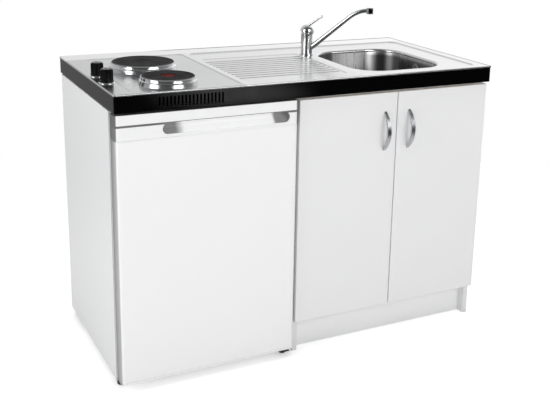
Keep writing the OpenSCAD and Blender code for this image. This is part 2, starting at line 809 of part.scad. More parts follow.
module tap_turret() {
  z0 = tap_neck_z + pass_gap;
  color(chrome) at_tap() difference() {
    union() {
      intersection() {
        translate([0, 0, tap_ball_z]) sphere(tap_ball_radius);
        translate([0, 0, z0]) cylinder(h = 40, r = 30);
      }
      // ring as wide as the body, its top cut aslant under the lever hood
      difference() {
        translate([0, 0, z0]) cylinder(h = tap_ball_z - z0, r = tap_radius);
        translate([0, 0, tap_ball_z]) rotate([0, 2.6, 0]) translate([0, 0, -7.2])
          cylinder(h = 30, r = 40);
      }
      translate([0, 0, tap_neck_z - 38]) cylinder(h = 45, r = tap_stem_radius);
    }
    translate([0, 0, tap_ball_z]) rotate([90, 0, 0])
      cylinder(h = 60, r = tap_pin_radius + run_play, center = true);
  }
}

module tap_lever() {
  r1 = tap_ball_radius + pass_gap;
  r2 = r1 + hood_wall;
  color(chrome) at_tap() {
    difference() {
      translate([0, 0, tap_ball_z]) sphere(r2);
      translate([0, 0, tap_ball_z]) sphere(r1);
      translate([0, 0, tap_ball_z]) rotate([0, hood_slant, 0]) translate([0, 0, -2.5 - 40])
        cylinder(h = 40, r = 40);
    }
    translate([0, 0, tap_ball_z]) rotate([90, 0, 0])
      cylinder(h = 2 * r1 + 3, r = tap_pin_radius, center = true);
    translate([6, 0, tap_ball_z + 20]) rotate([0, 54, 0]) {
      cylinder(h = lever_length, r1 = 4, r2 = 2.6);
      translate([0, 0, lever_length - 12]) cylinder(h = 12, r1 = 2.8, r2 = 3.6);
      translate([0, 0, lever_length]) sphere(3.6);
    }
  }
}

module tap_fixing() {
  z1 = field_z - sheet_thickness;
  color([0.8, 0.7, 0.4]) translate([tap_x, tap_y, 0]) {
    difference() {
      translate([0, 0, z1 - 60]) cylinder(h = 60 + sheet_thickness, r = 16.5);
      for (x = [-tail_offset, tail_offset]) translate([x, 0, z1 - 61])
        cylinder(h = 45, r = tail_stub_radius);
    }
    difference() {
      translate([0, 0, z1 - 3]) cylinder(h = 3, r = 23);
      translate([0, 0, z1 - 4]) cylinder(h = 5, r = 16);
    }
    difference() {
      translate([0, 0, z1 - 15]) cylinder(h = 12, r = 23, $fn = 6);
      translate([0, 0, z1 - 16]) cylinder(h = 14, r = 16);
    }
  }
}

module tap_tails() {
  z1 = field_z - sheet_thickness - 60;
  zb = tail_height + tail_bend;
  y_end = yb - 2 - tap_y;
  r = tail_radius;
  color([0.72, 0.42, 0.25])
    for (x = [-tail_offset, tail_offset]) translate([tap_x + x, tap_y, 0]) {
      // end let into the tap fixing
      translate([0, 0, z1 - 4]) cylinder(h = 48, r = tail_stub_radius);
      translate([0, 0, zb]) cylinder(h = z1 - 3 - zb, r = r);
      translate([0, tail_bend, zb]) rotate([90, 0, 90]) rotate([0, 0, 180])
        rotate_extrude(angle = 90) translate([tail_bend, 0]) circle(r);
      translate([0, tail_bend, tail_height]) rotate([-90, 0, 0]) difference() {
        cylinder(h = y_end - tail_bend, r = r);
        translate([0, 0, 10]) cylinder(h = y_end, r = r - 1);
      }
    }
}

// ---------- waste ----------
module waste_flange() {
  color(chrome) translate([waste_x, waste_y, 0]) rotate_extrude()
    polygon([
      [29.5, seat_z], [39, seat_z], [39.6, seat_z + 1.2], [33.4, seat_z + 1.4],
      [28.5, seat_z + 0.2], [28.5, seat_z - 24], [29.5, seat_z - 24]
    ]);
}

module strainer_basket() {
  z = seat_z - 18;
  color([0.75, 0.76, 0.78]) translate([waste_x, waste_y, 0]) difference() {
    union() {
      rotate_extrude()
        polygon([
          [0, z], [26, z], [27.6, z + 3], [27.6, seat_z + 0.5], [32, seat_z + 1.6],
          [32, seat_z + 2.6], [26.6, seat_z + 1.3], [26.6, z + 3.5], [25.4, z + 1.2], [0, z + 1.2]
        ]);
      translate([0, 0, z]) cylinder(h = 18, r = 3);
      translate([0, 0, z + 18]) cylinder(h = 5, r1 = 8, r2 = 6.5);
    }
    for (a = [0 : 30 : 359]) rotate([0, 0, a]) translate([20, 0, z - 1])
      cylinder(h = 4, r = 1.6, $fn = 16);
    for (a = [0 : 60 : 359]) rotate([0, 0, a]) translate([12, 0, z - 1])
      cylinder(h = 4, r = 1.6, $fn = 16);
  }
}

module waste_body() {
  zs = seat_z - sheet_thickness;
  color([0.9, 0.9, 0.88]) translate([waste_x, waste_y, 0]) difference() {
    union() {
      translate([0, 0, zs - 4]) cylinder(h = 4, r = 41);
      translate([0, 0, zs - 36]) cylinder(h = 34, r = 35);
      translate([0, 0, zs - 44]) cylinder(h = 8, r1 = pipe_radius, r2 = 35);
      translate([0, 0, zs - 70]) cylinder(h = 28, r = pipe_radius);
      translate([0, 0, zs - 66]) cylinder(h = 18, r = pipe_radius + 6, $fn = 8);
      translate([28, 0, zs - 22]) rotate([0, 90, 0]) cylinder(h = 22, r = overflow_radius + pipe_wall);
    }
    translate([0, 0, zs - 33]) cylinder(h = 34, r = 30.5);
    translate([0, 0, zs - 71]) cylinder(h = 60, r = pipe_radius - pipe_wall);
    translate([20, 0, zs - 22]) rotate([0, 90, 0]) cylinder(h = 40, r = overflow_radius);
  }
}

module trap_body() {
  z1 = seat_z - sheet_thickness - 70;
  zo = outlet_height;
  color([0.9, 0.9, 0.88]) translate([waste_x, waste_y, 0]) {
    difference() {
      union() {
        translate([0, 0, zo + 26]) cylinder(h = z1 - zo - 26, r = pipe_radius);
        translate([0, 0, zo + 22]) cylinder(h = 16, r = pipe_radius + 7, $fn = 8);
        translate([0, 0, zo + 14]) cylinder(h = 10, r1 = 34, r2 = 24);
        translate([0, 0, zo - 60]) cylinder(h = 74, r = 34);
        translate([0, 0, zo]) rotate([-90, 0, 0]) cylinder(h = 48, r = 26);
      }
      translate([0, 0, zo - 61]) cylinder(h = 74, r = 34 - pipe_wall);
      translate([0, 0, zo - 40]) cylinder(h = z1 - zo + 60, r = pipe_radius - pipe_wall);
      translate([0, 0, zo]) rotate([-90, 0, 0]) cylinder(h = 60, r = pipe_radius - 0.5);
    }
    // dip tube
    difference() {
      translate([0, 0, zo - 30]) cylinder(h = 44, r = pipe_radius);
      translate([0, 0, zo - 31]) cylinder(h = 60, r = pipe_radius - pipe_wall);
    }
    // screwed cup
    difference() {
      union() {
        translate([0, 0, zo - 76]) cylinder(h = 30, r = 38, $fn = 24);
        translate([0, 0, zo - 84]) cylinder(h = 8, r1 = 26, r2 = 36);
      }
      translate([0, 0, zo - 60]) cylinder(h = 20, r = 34);
      translate([0, 0, zo - 78]) cylinder(h = 20, r = 31);
    }
  }
}

module outlet_pipe() {
  color([0.9, 0.9, 0.88]) translate([waste_x, waste_y, outlet_height]) rotate([-90, 0, 0])
    difference() {
      union() {
        // end let into the socket of the trap
        translate([0, 0, 34]) cylinder(h = 20, r = pipe_radius - 0.5);
        translate([0, 0, 50]) cylinder(h = yb - waste_y - 50 - 2, r = pipe_radius);
      }
      translate([0, 0, 33]) cylinder(h = yb - waste_y, r = pipe_radius - pipe_wall);
    }
}

module overflow_grid() {
  color(chrome) translate([bowl_x1 - bowl_edge_radius, bowl_cy, field_z - 42])
    rotate([0, -90, 0]) difference() {
      union() {
        cylinder(h = 1.4, r = 18);
        translate([0, 0, -3]) cylinder(h = 3, r = 13.6);
      }
      for (x = [-7, 0, 7]) translate([x - 1.5, -9, -4]) cube([3, 18, 8]);
    }
}

module overflow_pipe() {
  // from the grid housing down beside the bowl and back to the waste body
  xo = bowl_x1 + 8;
  zg = field_z - 42;
  zw = seat_z - sheet_thickness - 22;
  r = overflow_radius;
  color([0.85, 0.85, 0.83]) difference() {
    union() {
      translate([bowl_x1 - bowl_edge_radius + sheet_thickness, bowl_cy, zg])
        rotate([0, 90, 0]) cylinder(h = 20, r = 19);
      translate([xo, bowl_cy, zw + 20]) cylinder(h = zg - zw - 10, r = r);
      translate([xo - 20, bowl_cy, zw + 20]) rotate([90, 0, 0]) rotate([0, 0, 270])
        rotate_extrude(angle = 90) translate([20, 0]) circle(r);
      translate([waste_x + 46, bowl_cy, zw]) rotate([0, 90, 0])
        cylinder(h = xo - 20 - waste_x - 46, r = r);
    }
    translate([bowl_x1 - bowl_edge_radius, bowl_cy, zg]) rotate([0, 90, 0])
      cylinder(h = 18, r = 14);
  }
}

// ---------- cabinet ----------
module side_board(x0, x1, groove_x0) {
  difference() {
    block(x0, x1, cab_front, cab_back, 0, band_z);
    block(groove_x0, groove_x0 + 8, cab_back - back_thickness, cab_back + 1,
      plinth_height + 8, band_z + 1);
  }
}

module partition_panel() {
  color(white) side_board(cab_x0, cab_x0 + board, cab_x0 + board - 8);
}

module right_side_panel() {
  color(white) side_board(cab_x1 - board, cab_x1, cab_x1 - board);
}

module cabinet_floor() {
  color(white) block(cab_x0 + board, cab_x1 - board, cab_front, cab_back - back_thickness,
    plinth_height, plinth_height + board);
}

module plinth() {
  y0 = cab_front + plinth_setback;
  color([0.88, 0.88, 0.87]) block(cab_x0 + board, cab_x1 - board, y0, y0 + board, 0,
    plinth_height);
}

module front_rail() {
  color(white) block(cab_x0 + board, cab_x1 - board, cab_front, cab_front + 12,
    band_z - front_rail_height, band_z);
}

module back_rail() {
  y1 = cab_back - back_thickness;
  color(white) difference() {
    block(cab_x0 + board, cab_x1 - board, y1 - board, y1, band_z - back_rail_height,
      band_z);
    for (x = [door_mid - wall_hole_spacing / 2, door_mid + wall_hole_spacing / 2])
      translate([x, y1 - board - 1, band_z - 50]) rotate([-90, 0, 0])
        cylinder(h = board + 2, r = wall_hole_radius);
  }
}

module back_panel() {
  y0 = cab_back - back_thickness;
  color([0.9, 0.9, 0.88]) difference() {
    block(cab_x0 + board - 7.8, cab_x1 - board + 7.8, y0, cab_back, plinth_height + 8.2, band_z);
    block(waste_x - 200, waste_x + 120, y0 - 1, cab_back + 1, outlet_height - 190,
      outlet_height + 60);
    for (x = [door_mid - wall_hole_spacing / 2, door_mid + wall_hole_spacing / 2])
      translate([x, y0 - 1, band_z - 50]) rotate([-90, 0, 0])
        cylinder(h = back_thickness + 2, r = wall_hole_radius);
  }
}

// door board with its front edges rounded
module door_board(x0, x1) {
  r = 2;
  y0 = door_front;
  z0 = door_z0;
  z1 = door_z1;
  block(x0, x1, y0 + r, door_back, z0, z1);
  block(x0 + r, x1 - r, y0, y0 + r + 1, z0 + r, z1 - r);
  for (x = [x0 + r, x1 - r]) {
    translate([x, y0 + r, z0 + r]) cylinder(h = z1 - z0 - 2 * r, r = r, $fn = 32);
    for (z = [z0 + r, z1 - r]) translate([x, y0 + r, z]) sphere(r, $fn = 32);
  }
  for (z = [z0 + r, z1 - r]) translate([x0 + r, y0 + r, z]) rotate([0, 90, 0])
    cylinder(h = x1 - x0 - 2 * r, r = r, $fn = 32);
}

module door_with_bores(x0, x1, cup_x) {
  color(white) difference() {
    door_board(x0, x1);
    for (z = [hinge_z_low, hinge_z_high])
      translate([cup_x, door_back + 1, z]) rotate([90, 0, 0])
        cylinder(h = cup_deep + 1, r = hinge_cup_radius);
  }
}

module cabinet_door_left() {
  door_with_bores(cab_x0, door_mid - door_split / 2, cab_x0 + cup_in);
}

module cabinet_door_right() {
  door_with_bores(door_mid + door_split / 2, cab_x1, cab_x1 - cup_in);
}

// bow handle standing out towards -Y from the origin, centred in height
module bow_handle() {
  c = handle_length / 2;
  s1 = handle_stand;
  r1 = (c * c + s1 * s1) / (2 * s1);
  ci = c - 7.5;
  s2 = handle_stand - handle_mid_thickness;
  r2 = (ci * ci + s2 * s2) / (2 * s2);
  w = 6.2;
  taper = 2.6;
  rl = (c * c + taper * taper) / (2 * taper);
  color([0.62, 0.63, 0.65]) intersection() {
    rotate([0, 90, 0]) translate([0, 0, -20]) difference() {
      translate([0, r1 - s1, 0]) cylinder(h = 40, r = r1, $fn = 180);
      translate([0, r2 - s2, -1]) cylinder(h = 42, r = r2, $fn = 180);
    }
    translate([rl - w, 10, 0]) rotate([90, 0, 0]) cylinder(h = 60, r = rl, $fn = 360);
    translate([w - rl, 10, 0]) rotate([90, 0, 0]) cylinder(h = 60, r = rl, $fn = 360);
    translate([-20, -60, -c - 5]) cube([40, 60, 2 * c + 10]);
  }
}

module handle_left() {
  translate([door_mid - handle_inset, door_front, handle_z]) bow_handle();
}

module handle_right() {
  translate([door_mid + handle_inset, door_front, handle_z]) bow_handle();
}

// cup hinge, drawn for a door whose hinge edge is at x = 0 and opens from there
module hinge_cup() {
  color([0.75, 0.76, 0.78]) {
    difference() {
      union() {
        translate([cup_in, door_back, 0]) rotate([90, 0, 0])
          cylinder(h = cup_deep, r = hinge_cup_radius);
        intersection() {
          translate([cup_in, door_back + cup_wall, 0]) rotate([90, 0, 0])
            cylinder(h = cup_wall, r = 21);
          block(5, cup_in + 21, door_back - 1, door_back + 1, -30, 30);
        }
      }
      translate([cup_in, door_back + 2, 0]) rotate([90, 0, 0])
        cylinder(h = cup_deep + 2 - cup_wall, r = hinge_cup_radius - cup_wall);
    }
    translate([pivot_in, door_back - pivot_deep, -9.4]) cylinder(h = 18.8, r = 1, $fn = 24);
  }
}

module hinge_arm() {
  px = pivot_in;
  py = door_back - pivot_deep;
  ax = px + 12.5;
  inner = board;
  color([0.7, 0.71, 0.73]) {
    difference() {
      union() {
        translate([px, py, -3]) cylinder(h = 6, r = eye_radius, $fn = 24);
        block(px, ax + 0.8, py - 0.8, py + 0.8, -3, 3);
        block(ax - 0.8, ax + 0.8, py - 0.8, cab_front + 52, -5, 5);
      }
      translate([px, py, -4]) cylinder(h = 8, r = 1 + run_play, $fn = 24);
    }
    block(inner, ax - 0.8, cab_front + 4, cab_front + 54, -9, 9);
    for (y = [cab_front + 16, cab_front + 42]) translate([ax + 0.8, y, 0])
      rotate([0, 90, 0]) cylinder(h = 1.6, r = 3.5, $fn = 24);
  }
}

module left_side() {
  for (z = [hinge_z_low, hinge_z_high]) translate([cab_x0, 0, z]) children();
}

module right_side() {
  for (z = [hinge_z_low, hinge_z_high]) translate([cab_x1, 0, z]) mirror([1, 0, 0]) children();
}

module hinge_cups_left() {
  left_side() hinge_cup();
}

module hinge_cups_right() {
  right_side() hinge_cup();
}

module hinge_arms() {
  left_side() hinge_arm();
  right_side() hinge_arm();
}

// ---------- refrigerator ----------
module cave(grow, front) {
  block(cave_x0 + grow, cave_x1 - grow, front, cave_y1 - grow, step_z + grow, cave_z1 - grow);
  block(cave_x0 + grow, cave_x1 - grow, front, step_y - grow, cave_z0 + grow, step_z + grow + 1);
}

module fridge_body() {
  // play between the side sheets and the foamed cabinet
  g = 0.2;
  s = fridge_side_sheet;
  color(white) {
    for (x = [fridge_x0, fridge_x1 - s])
      block(x, x + s, fridge_front, fridge_back, fridge_z0, fridge_top);
    difference() {
      translate([fridge_x0 + s + g, 0, 0]) rotate([90, 0, 90])
        linear_extrude(fridge_width - 2 * (s + g)) polygon([
          [fridge_front, fridge_z0], [bay_y0, fridge_z0], [bay_y0, bay_z1],
          [fridge_back, bay_z1], [fridge_back, fridge_top], [fridge_front, fridge_top]
        ]);
      cave(0, fridge_front - 1);
    }
  }
}

module fridge_liner() {
  color([0.96, 0.96, 0.97]) {
    difference() {
      cave(0, fridge_front + 0.5);
      cave(liner, fridge_front - 5);
    }
    // shelf ledges
    for (z = shelf_levels) {
      block(in_x0 - 1, in_x0 + 7, shelf_y0 - 10, in_y1, z - 7, z);
      block(in_x1 - 7, in_x1 + 1, shelf_y0 - 10, in_y1, z - 7, z);
    }
    // ledges for the crisper cover
    block(in_x0 - 1, in_x0 + 7, shelf_y0 - 10, step_y - 1, step_z - 8, step_z - 1);
    block(in_x1 - 7, in_x1 + 1, shelf_y0 - 10, step_y - 1, step_z - 8, step_z - 1);
  }
}

module door_outline(inset, front) {
  r = 10;
  x0 = fridge_x0 + inset;
  x1 = fridge_x1 - inset;
  translate([x0 + r, front]) square([x1 - x0 - 2 * r, fridge_door_back - front]);
  translate([x0, front + r]) square([x1 - x0, fridge_door_back - front - r]);
  for (x = [x0 + r, x1 - r]) translate([x, front + r]) circle(r);
}

module fridge_door_panel() {
  color(white) difference() {
    union() {
      translate([0, 0, fridge_door_z0 + 5]) linear_extrude(grip_z0 - fridge_door_z0 - 5)
        door_outline(0, fridge_door_front);
      translate([0, 0, fridge_door_z0]) linear_extrude(4)
        door_outline(-0.8, fridge_door_front - 1);
      translate([0, 0, fridge_door_z0 + 3]) linear_extrude(3)
        door_outline(0.8, fridge_door_front + 1);
    }
    translate([hinge_x, hinge_y, fridge_door_z0 - 1])
      cylinder(h = 18, r = hinge_pin + run_play);
  }
}

module fridge_grip_strip() {
  z0 = grip_z0 + 0.6;
  z1 = fridge_door_z1;
  gx0 = fridge_x0 + 128;
  gx1 = gx0 + grip_length;
  gz0 = grip_z0 + 9;
  gz1 = gz0 + grip_height;
  yd = fridge_door_front;
  r = grip_height / 2;
  color(white) difference() {
    translate([0, 0, z0]) linear_extrude(z1 - z0) door_outline(0, yd);
    // shadow groove under the top cap
    block(fridge_x0 - 1, fridge_x1 + 1, yd - 1, yd + 5, gz1 - 3, gz1 + 3);
    // finger recess with rounded ends, deeper towards its top
    intersection() {
      translate([0, yd + 40, 0]) rotate([90, 0, 0]) linear_extrude(60) {
        translate([gx0 + r, gz0]) square([grip_length - 2 * r, grip_height]);
        for (x = [gx0 + r, gx1 - r]) translate([x, gz0 + r]) circle(r);
      }
      translate([gx0 - 1, 0, 0]) rotate([90, 0, 90]) linear_extrude(grip_length + 2)
        polygon([
          [yd - 2, gz0 - 1], [yd + 4, gz0 - 1], [yd + 10, gz0 + grip_height * 0.2],
          [yd + 17, gz0 + grip_height * 0.45], [yd + 22, gz0 + grip_height * 0.72],
          [yd + 24, gz1 + 1], [yd - 2, gz1 + 1]
        ]);
    }
    translate([hinge_x, hinge_y, z1 - 16]) cylinder(h = 18, r = hinge_pin + run_play);
  }
}

module fridge_door_liner() {
  y0 = fridge_door_back;
  yp = y0 + 4;
  x0 = fridge_x0 + 8;
  x1 = fridge_x1 - 8;
  z0 = fridge_door_z0 + 12;
  z1 = fridge_door_z1 - 12;
  zl = cave_z0 + 24;
  zh = cave_z1 - 22;
  color([0.96, 0.96, 0.97]) {
    block(x0, x1, y0, yp, z0, z1);
    block(rack_x0, rack_x0 + 12, yp - 1, rack_y1, zl, zh);
    block(rack_x1 - 12, rack_x1, yp - 1, rack_y1, zl, zh);
    block(rack_x0, rack_x1, yp - 1, yp + 28, zh - 12, zh);
    block(rack_x0, rack_x1, yp - 1, yp + 28, zl, zl + 12);
  }
}

module door_gasket() {
  y0 = fridge_door_back + 4;
  y1 = fridge_front - 3;
  x0 = fridge_x0 + 12;
  x1 = fridge_x1 - 12;
  z0 = fridge_door_z0 + 14;
  z1 = fridge_door_z1 - 14;
  color([0.55, 0.56, 0.58]) difference() {
    block(x0, x1, y0, y1, z0, z1);
    block(x0 + 12, x1 - 12, y0 - 1, y1 + 1, z0 + 12, z1 - 12);
  }
}

module door_tray(z, h, d) {
  x0 = rack_x0 + 12;
  x1 = rack_x1 - 12;
  y0 = fridge_door_back + 4;
  y1 = y0 + d;
  difference() {
    block(x0, x1, y0, y1, z, z + h);
    block(x0 + 2.5, x1 - 2.5, y0 + 2.5, y1 - 2.5, z + 2.5, z + h + 1);
    block(x0 + 20, x1 - 20, y1 - 4, y1 + 1, z + h * 0.45, z + h - 9);
  }
}

module door_racks() {
  color([0.9, 0.93, 0.95])
    for (z = [low_rack_rise, high_rack_rise]) door_tray(cave_z0 + z, rack_height, rack_depth);
}

module bottle_rack() {
  color([0.9, 0.93, 0.95])
    door_tray(cave_z0 + bottle_rack_rise, bottle_rack_height, bottle_rack_depth);
}

module glass_shelves() {
  color([0.75, 0.85, 0.84, 0.5]) {
    for (z = shelf_levels)
      block(in_x0 + 1, in_x1 - 1, shelf_y0, in_y1 - 2, z, z + shelf_thickness);
    block(in_x0 + 1, in_x1 - 1, shelf_y0, step_y - liner - 1, step_z - 1,
      step_z - 1 + shelf_thickness);
  }
}

module crisper() {
  x0 = in_x0 + 9;
  x1 = in_x1 - 9;
  y0 = shelf_y0 + 2;
  y1 = step_y - liner - 5;
  z0 = cave_z0 + liner;
  z1 = step_z - 12;
  color([0.86, 0.9, 0.93]) {
    difference() {
      block(x0, x1, y0, y1, z0, z1);
      block(x0 + 2.5, x1 - 2.5, y0 + 2.5, y1 - 2.5, z0 + 2.5, z1 + 1);
    }
    block((x0 + x1) / 2 - 60, (x0 + x1) / 2 + 60, y0 - 9, y0 + 1, z1 - 12, z1 - 8);
  }
}

module icebox() {
  y0 = shelf_y0 + 6;
  color([0.9, 0.92, 0.94]) difference() {
    block(in_x0 + 1, in_x1 - 1, y0, in_y1, ice_z0, cave_z1 - liner);
    block(in_x0 + 4, in_x1 - 4, y0 - 1, in_y1 - 3, ice_z0 + 3, cave_z1 - liner - 3);
  }
}

module icebox_flap() {
  y1 = shelf_y0 + 5.5;
  color([0.95, 0.96, 0.97]) {
    block(in_x0 + 3, in_x1 - 3, y1 - 5, y1, ice_z0 + 2, cave_z1 - liner - 2);
    block(in_x0 + 40, in_x0 + 130, y1 - 12, y1 - 4, ice_z0 + 10, ice_z0 + 14);
  }
}

module thermostat_housing() {
  z0 = ice_z0 - thermostat_drop;
  yk = shelf_y0 + thermostat_from_front;
  color([0.93, 0.93, 0.94]) difference() {
    union() {
      block(in_x1 - 26, in_x1, yk - 30, yk + 92, z0, z0 + 64);
      translate([in_x1 - 20, yk + 60, z0 + 32]) sphere(20);
    }
    translate([in_x1 - 40, yk, z0 + 32]) rotate([0, 90, 0])
      cylinder(h = 34, r = spindle_radius + run_play);
    block(in_x1, in_x1 + 40, yk - 40, yk + 100, z0 - 5, z0 + 70);
  }
}

module thermostat_knob() {
  z0 = ice_z0 - thermostat_drop;
  yk = shelf_y0 + thermostat_from_front;
  color([0.96, 0.96, 0.97]) translate([in_x1 - 26 - pass_gap, yk, z0 + 32])
    rotate([0, -90, 0]) {
      cylinder(h = 10, r = 16);
      translate([0, 0, 10]) cylinder(h = 2, r1 = 16, r2 = 14);
      translate([-14, -2, 11]) cube([28, 4, 5]);
      translate([0, 0, -18]) cylinder(h = 19, r = spindle_radius);
    }
}

module compressor() {
  x = fridge_x1 - 150;
  y = (bay_y0 + fridge_back) / 2;
  z0 = fridge_z0 + 3;
  r = compressor_radius;
  color([0.08, 0.08, 0.08]) {
    block(bay_x0, bay_x1, y - 62, y + 62, z0, z0 + 2.5);
    for (a = [45 : 90 : 359]) translate([x + 60 * cos(a), y + 60 * sin(a), z0 + 2])
      cylinder(h = 14, r = 9, $fn = 24);
    translate([x, y, 0]) rotate_extrude()
      polygon([
        [0, z0 + 14], [52, z0 + 14], [r - 2, z0 + 26], [r, z0 + 40], [r, z0 + 70],
        [r + 3, z0 + 71], [r + 3, z0 + 75], [r, z0 + 76], [r - 2, z0 + 100], [r - 14, z0 + 124],
        [r - 36, z0 + 136], [0, z0 + 140]
      ]);
    block(x - r - 26, x - r + 6, y - 24, y + 24, z0 + 40, z0 + 92);
    translate([x - 20, y + 10, z0 + 130]) cylinder(h = bay_z1 - z0 - 130, r = 4, $fn = 24);
  }
}

module condenser() {
  y = fridge_back + 6.5;
  zlo = step_z + 6;
  zhi = fridge_top - 50;
  rows = 11;
  pitch = (zhi - zlo) / (rows - 1);
  xa = fridge_x0 + 60;
  xb = fridge_x1 - 60;
  color([0.05, 0.05, 0.05]) {
    for (i = [0 : rows - 1]) translate([xa, y, zlo + i * pitch]) rotate([0, 90, 0])
      cylinder(h = xb - xa, r = 2.4, $fn = 16);
    for (i = [0 : 2 : rows - 2]) translate([xb, y, zlo + (i + 0.5) * pitch])
      rotate([90, 0, 0]) rotate([0, 0, -90]) rotate_extrude(angle = 180)
      translate([pitch / 2, 0]) circle(2.4, $fn = 16);
    for (i = [1 : 2 : rows - 2]) translate([xa, y, zlo + (i + 0.5) * pitch])
      rotate([90, 0, 0]) rotate([0, 0, 90]) rotate_extrude(angle = 180)
      translate([pitch / 2, 0]) circle(2.4, $fn = 16);
    for (i = [0 : 9]) translate([xa + 20 + i * (xb - xa - 40) / 9, y + 2.6, zlo - 12])
      cylinder(h = zhi - zlo + 24, r = 0.8, $fn = 16);
    for (x = [xa + 30, xb - 30])
      for (z = [zlo + pitch * 1, zlo + pitch * (rows - 2)])
        block(x - 5, x + 5, fridge_back, y, z - 4, z + 4);
  }
}

module fridge_hinges() {
  color([0.12, 0.12, 0.13]) {
    // top plate and pin
    block(hinge_x - 16, hinge_x + 16, hinge_y - 12, fridge_front + hinge_plate_reach,
      fridge_top, fridge_top + 2.5);
    translate([hinge_x, hinge_y, fridge_door_z1 - 14]) cylinder(h = 17, r = hinge_pin);
    // bottom plate, pin, bush and levelling foot
    block(hinge_x - 16, hinge_x + 16, hinge_y - 12, fridge_front + hinge_plate_reach,
      fridge_z0 - 2.5, fridge_z0);
    translate([hinge_x, hinge_y, fridge_z0 - 1])
      cylinder(h = fridge_door_z0 - fridge_z0 + 15, r = hinge_pin);
    translate([hinge_x, hinge_y, fridge_z0 - 1])
      cylinder(h = fridge_door_z0 - fridge_z0 + 0.6, r = 8);
    translate([hinge_x + 4, hinge_y + 14, 3]) cylinder(h = fridge_z0 - 4, r = 5, $fn = 24);
    translate([hinge_x + 4, hinge_y + 14, 0]) cylinder(h = 4, r = 8);
  }
}

module fridge_feet() {
  color(black)
    for (p = [
      [fridge_x0 + 22, fridge_front + 8, foot_height],
      [fridge_x0 + 28, fridge_back - 32, foot_height + 3],
      [fridge_x1 - 28, fridge_back - 32, foot_height + 3]
    ]) translate([p[0], p[1], 0]) {
      cylinder(h = 9, r = 17);
      translate([0, 0, 9]) cylinder(h = p[2] - 9, r = 7);
    }
}

module placed() {
  translate([0, y_shift, 0]) children();
}

placed() worktop_sheet();
placed() sink_bowl();
placed() front_band();
placed() side_bands();
placed() support_frame();
placed() hob_tray();
placed() hotplate_rear();
placed() hotplate_front();
placed() spill_ring_rear();
placed() spill_ring_front();
placed() hob_switches();
placed() knob_bezels();
placed() knob_rear();
placed() knob_front();
placed() tap_body();
placed() tap_spout();
placed() tap_aerator();
placed() tap_turret();
placed() tap_lever();
placed() tap_fixing();
placed() tap_tails();
placed() waste_flange();
placed() strainer_basket();
placed() waste_body();
placed() trap_body();
placed() outlet_pipe();
placed() overflow_grid();
placed() overflow_pipe();
placed() partition_panel();
placed() right_side_panel();
placed() cabinet_floor();
placed() plinth();
placed() front_rail();
placed() back_rail();
placed() back_panel();
placed() cabinet_door_left();
placed() cabinet_door_right();
placed() handle_left();
placed() handle_right();
placed() hinge_cups_left();
placed() hinge_cups_right();
placed() hinge_arms();
placed() fridge_body();
placed() fridge_liner();
placed() fridge_door_panel();
placed() fridge_grip_strip();
placed() fridge_door_liner();
placed() door_gasket();
placed() door_racks();
placed() bottle_rack();
placed() glass_shelves();
placed() crisper();
placed() icebox();
placed() icebox_flap();
placed() thermostat_housing();
placed() thermostat_knob();
placed() compressor();
placed() condenser();
placed() fridge_hinges();
placed() fridge_feet();
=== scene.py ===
import math

import bpy
from mathutils import Matrix, Vector

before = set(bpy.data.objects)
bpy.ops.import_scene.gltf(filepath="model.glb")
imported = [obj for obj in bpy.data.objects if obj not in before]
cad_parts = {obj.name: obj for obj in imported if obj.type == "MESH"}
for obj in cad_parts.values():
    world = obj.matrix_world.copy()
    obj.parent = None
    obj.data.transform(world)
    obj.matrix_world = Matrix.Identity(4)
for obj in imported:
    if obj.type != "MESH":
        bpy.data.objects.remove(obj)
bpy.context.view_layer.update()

SHIFT = 0.007  # the part's own offset along y, metres

# hotplates: common x, then y, radius and gloss of each, metres
PLATE_X = -0.419
REAR_PLATE = (0.027 + SHIFT, 0.09, 0.015)
FRONT_PLATE = (-0.197 + SHIFT, 0.0725, 0.009)
RED_SPOT = 0.0185  # radius of the red spot on the front plate

# the photograph's width and the fitted camera, in its pixels and in radians
PHOTO_WIDTH = 550.0
FOCAL = 916.9
LENS_SHIFT = (-37.0, -65.0)
EYE = (-1.2127, -2.5342 + SHIFT, 1.3624)
YAW, PITCH, ROLL = 0.4876, 0.2601, 0.0272
SENSOR = 36.0  # millimetres

FLOOR_REACH = 9.0  # half the side of the floor, metres
FLOOR_DROP = 0.0005  # the floor lies this much under the feet


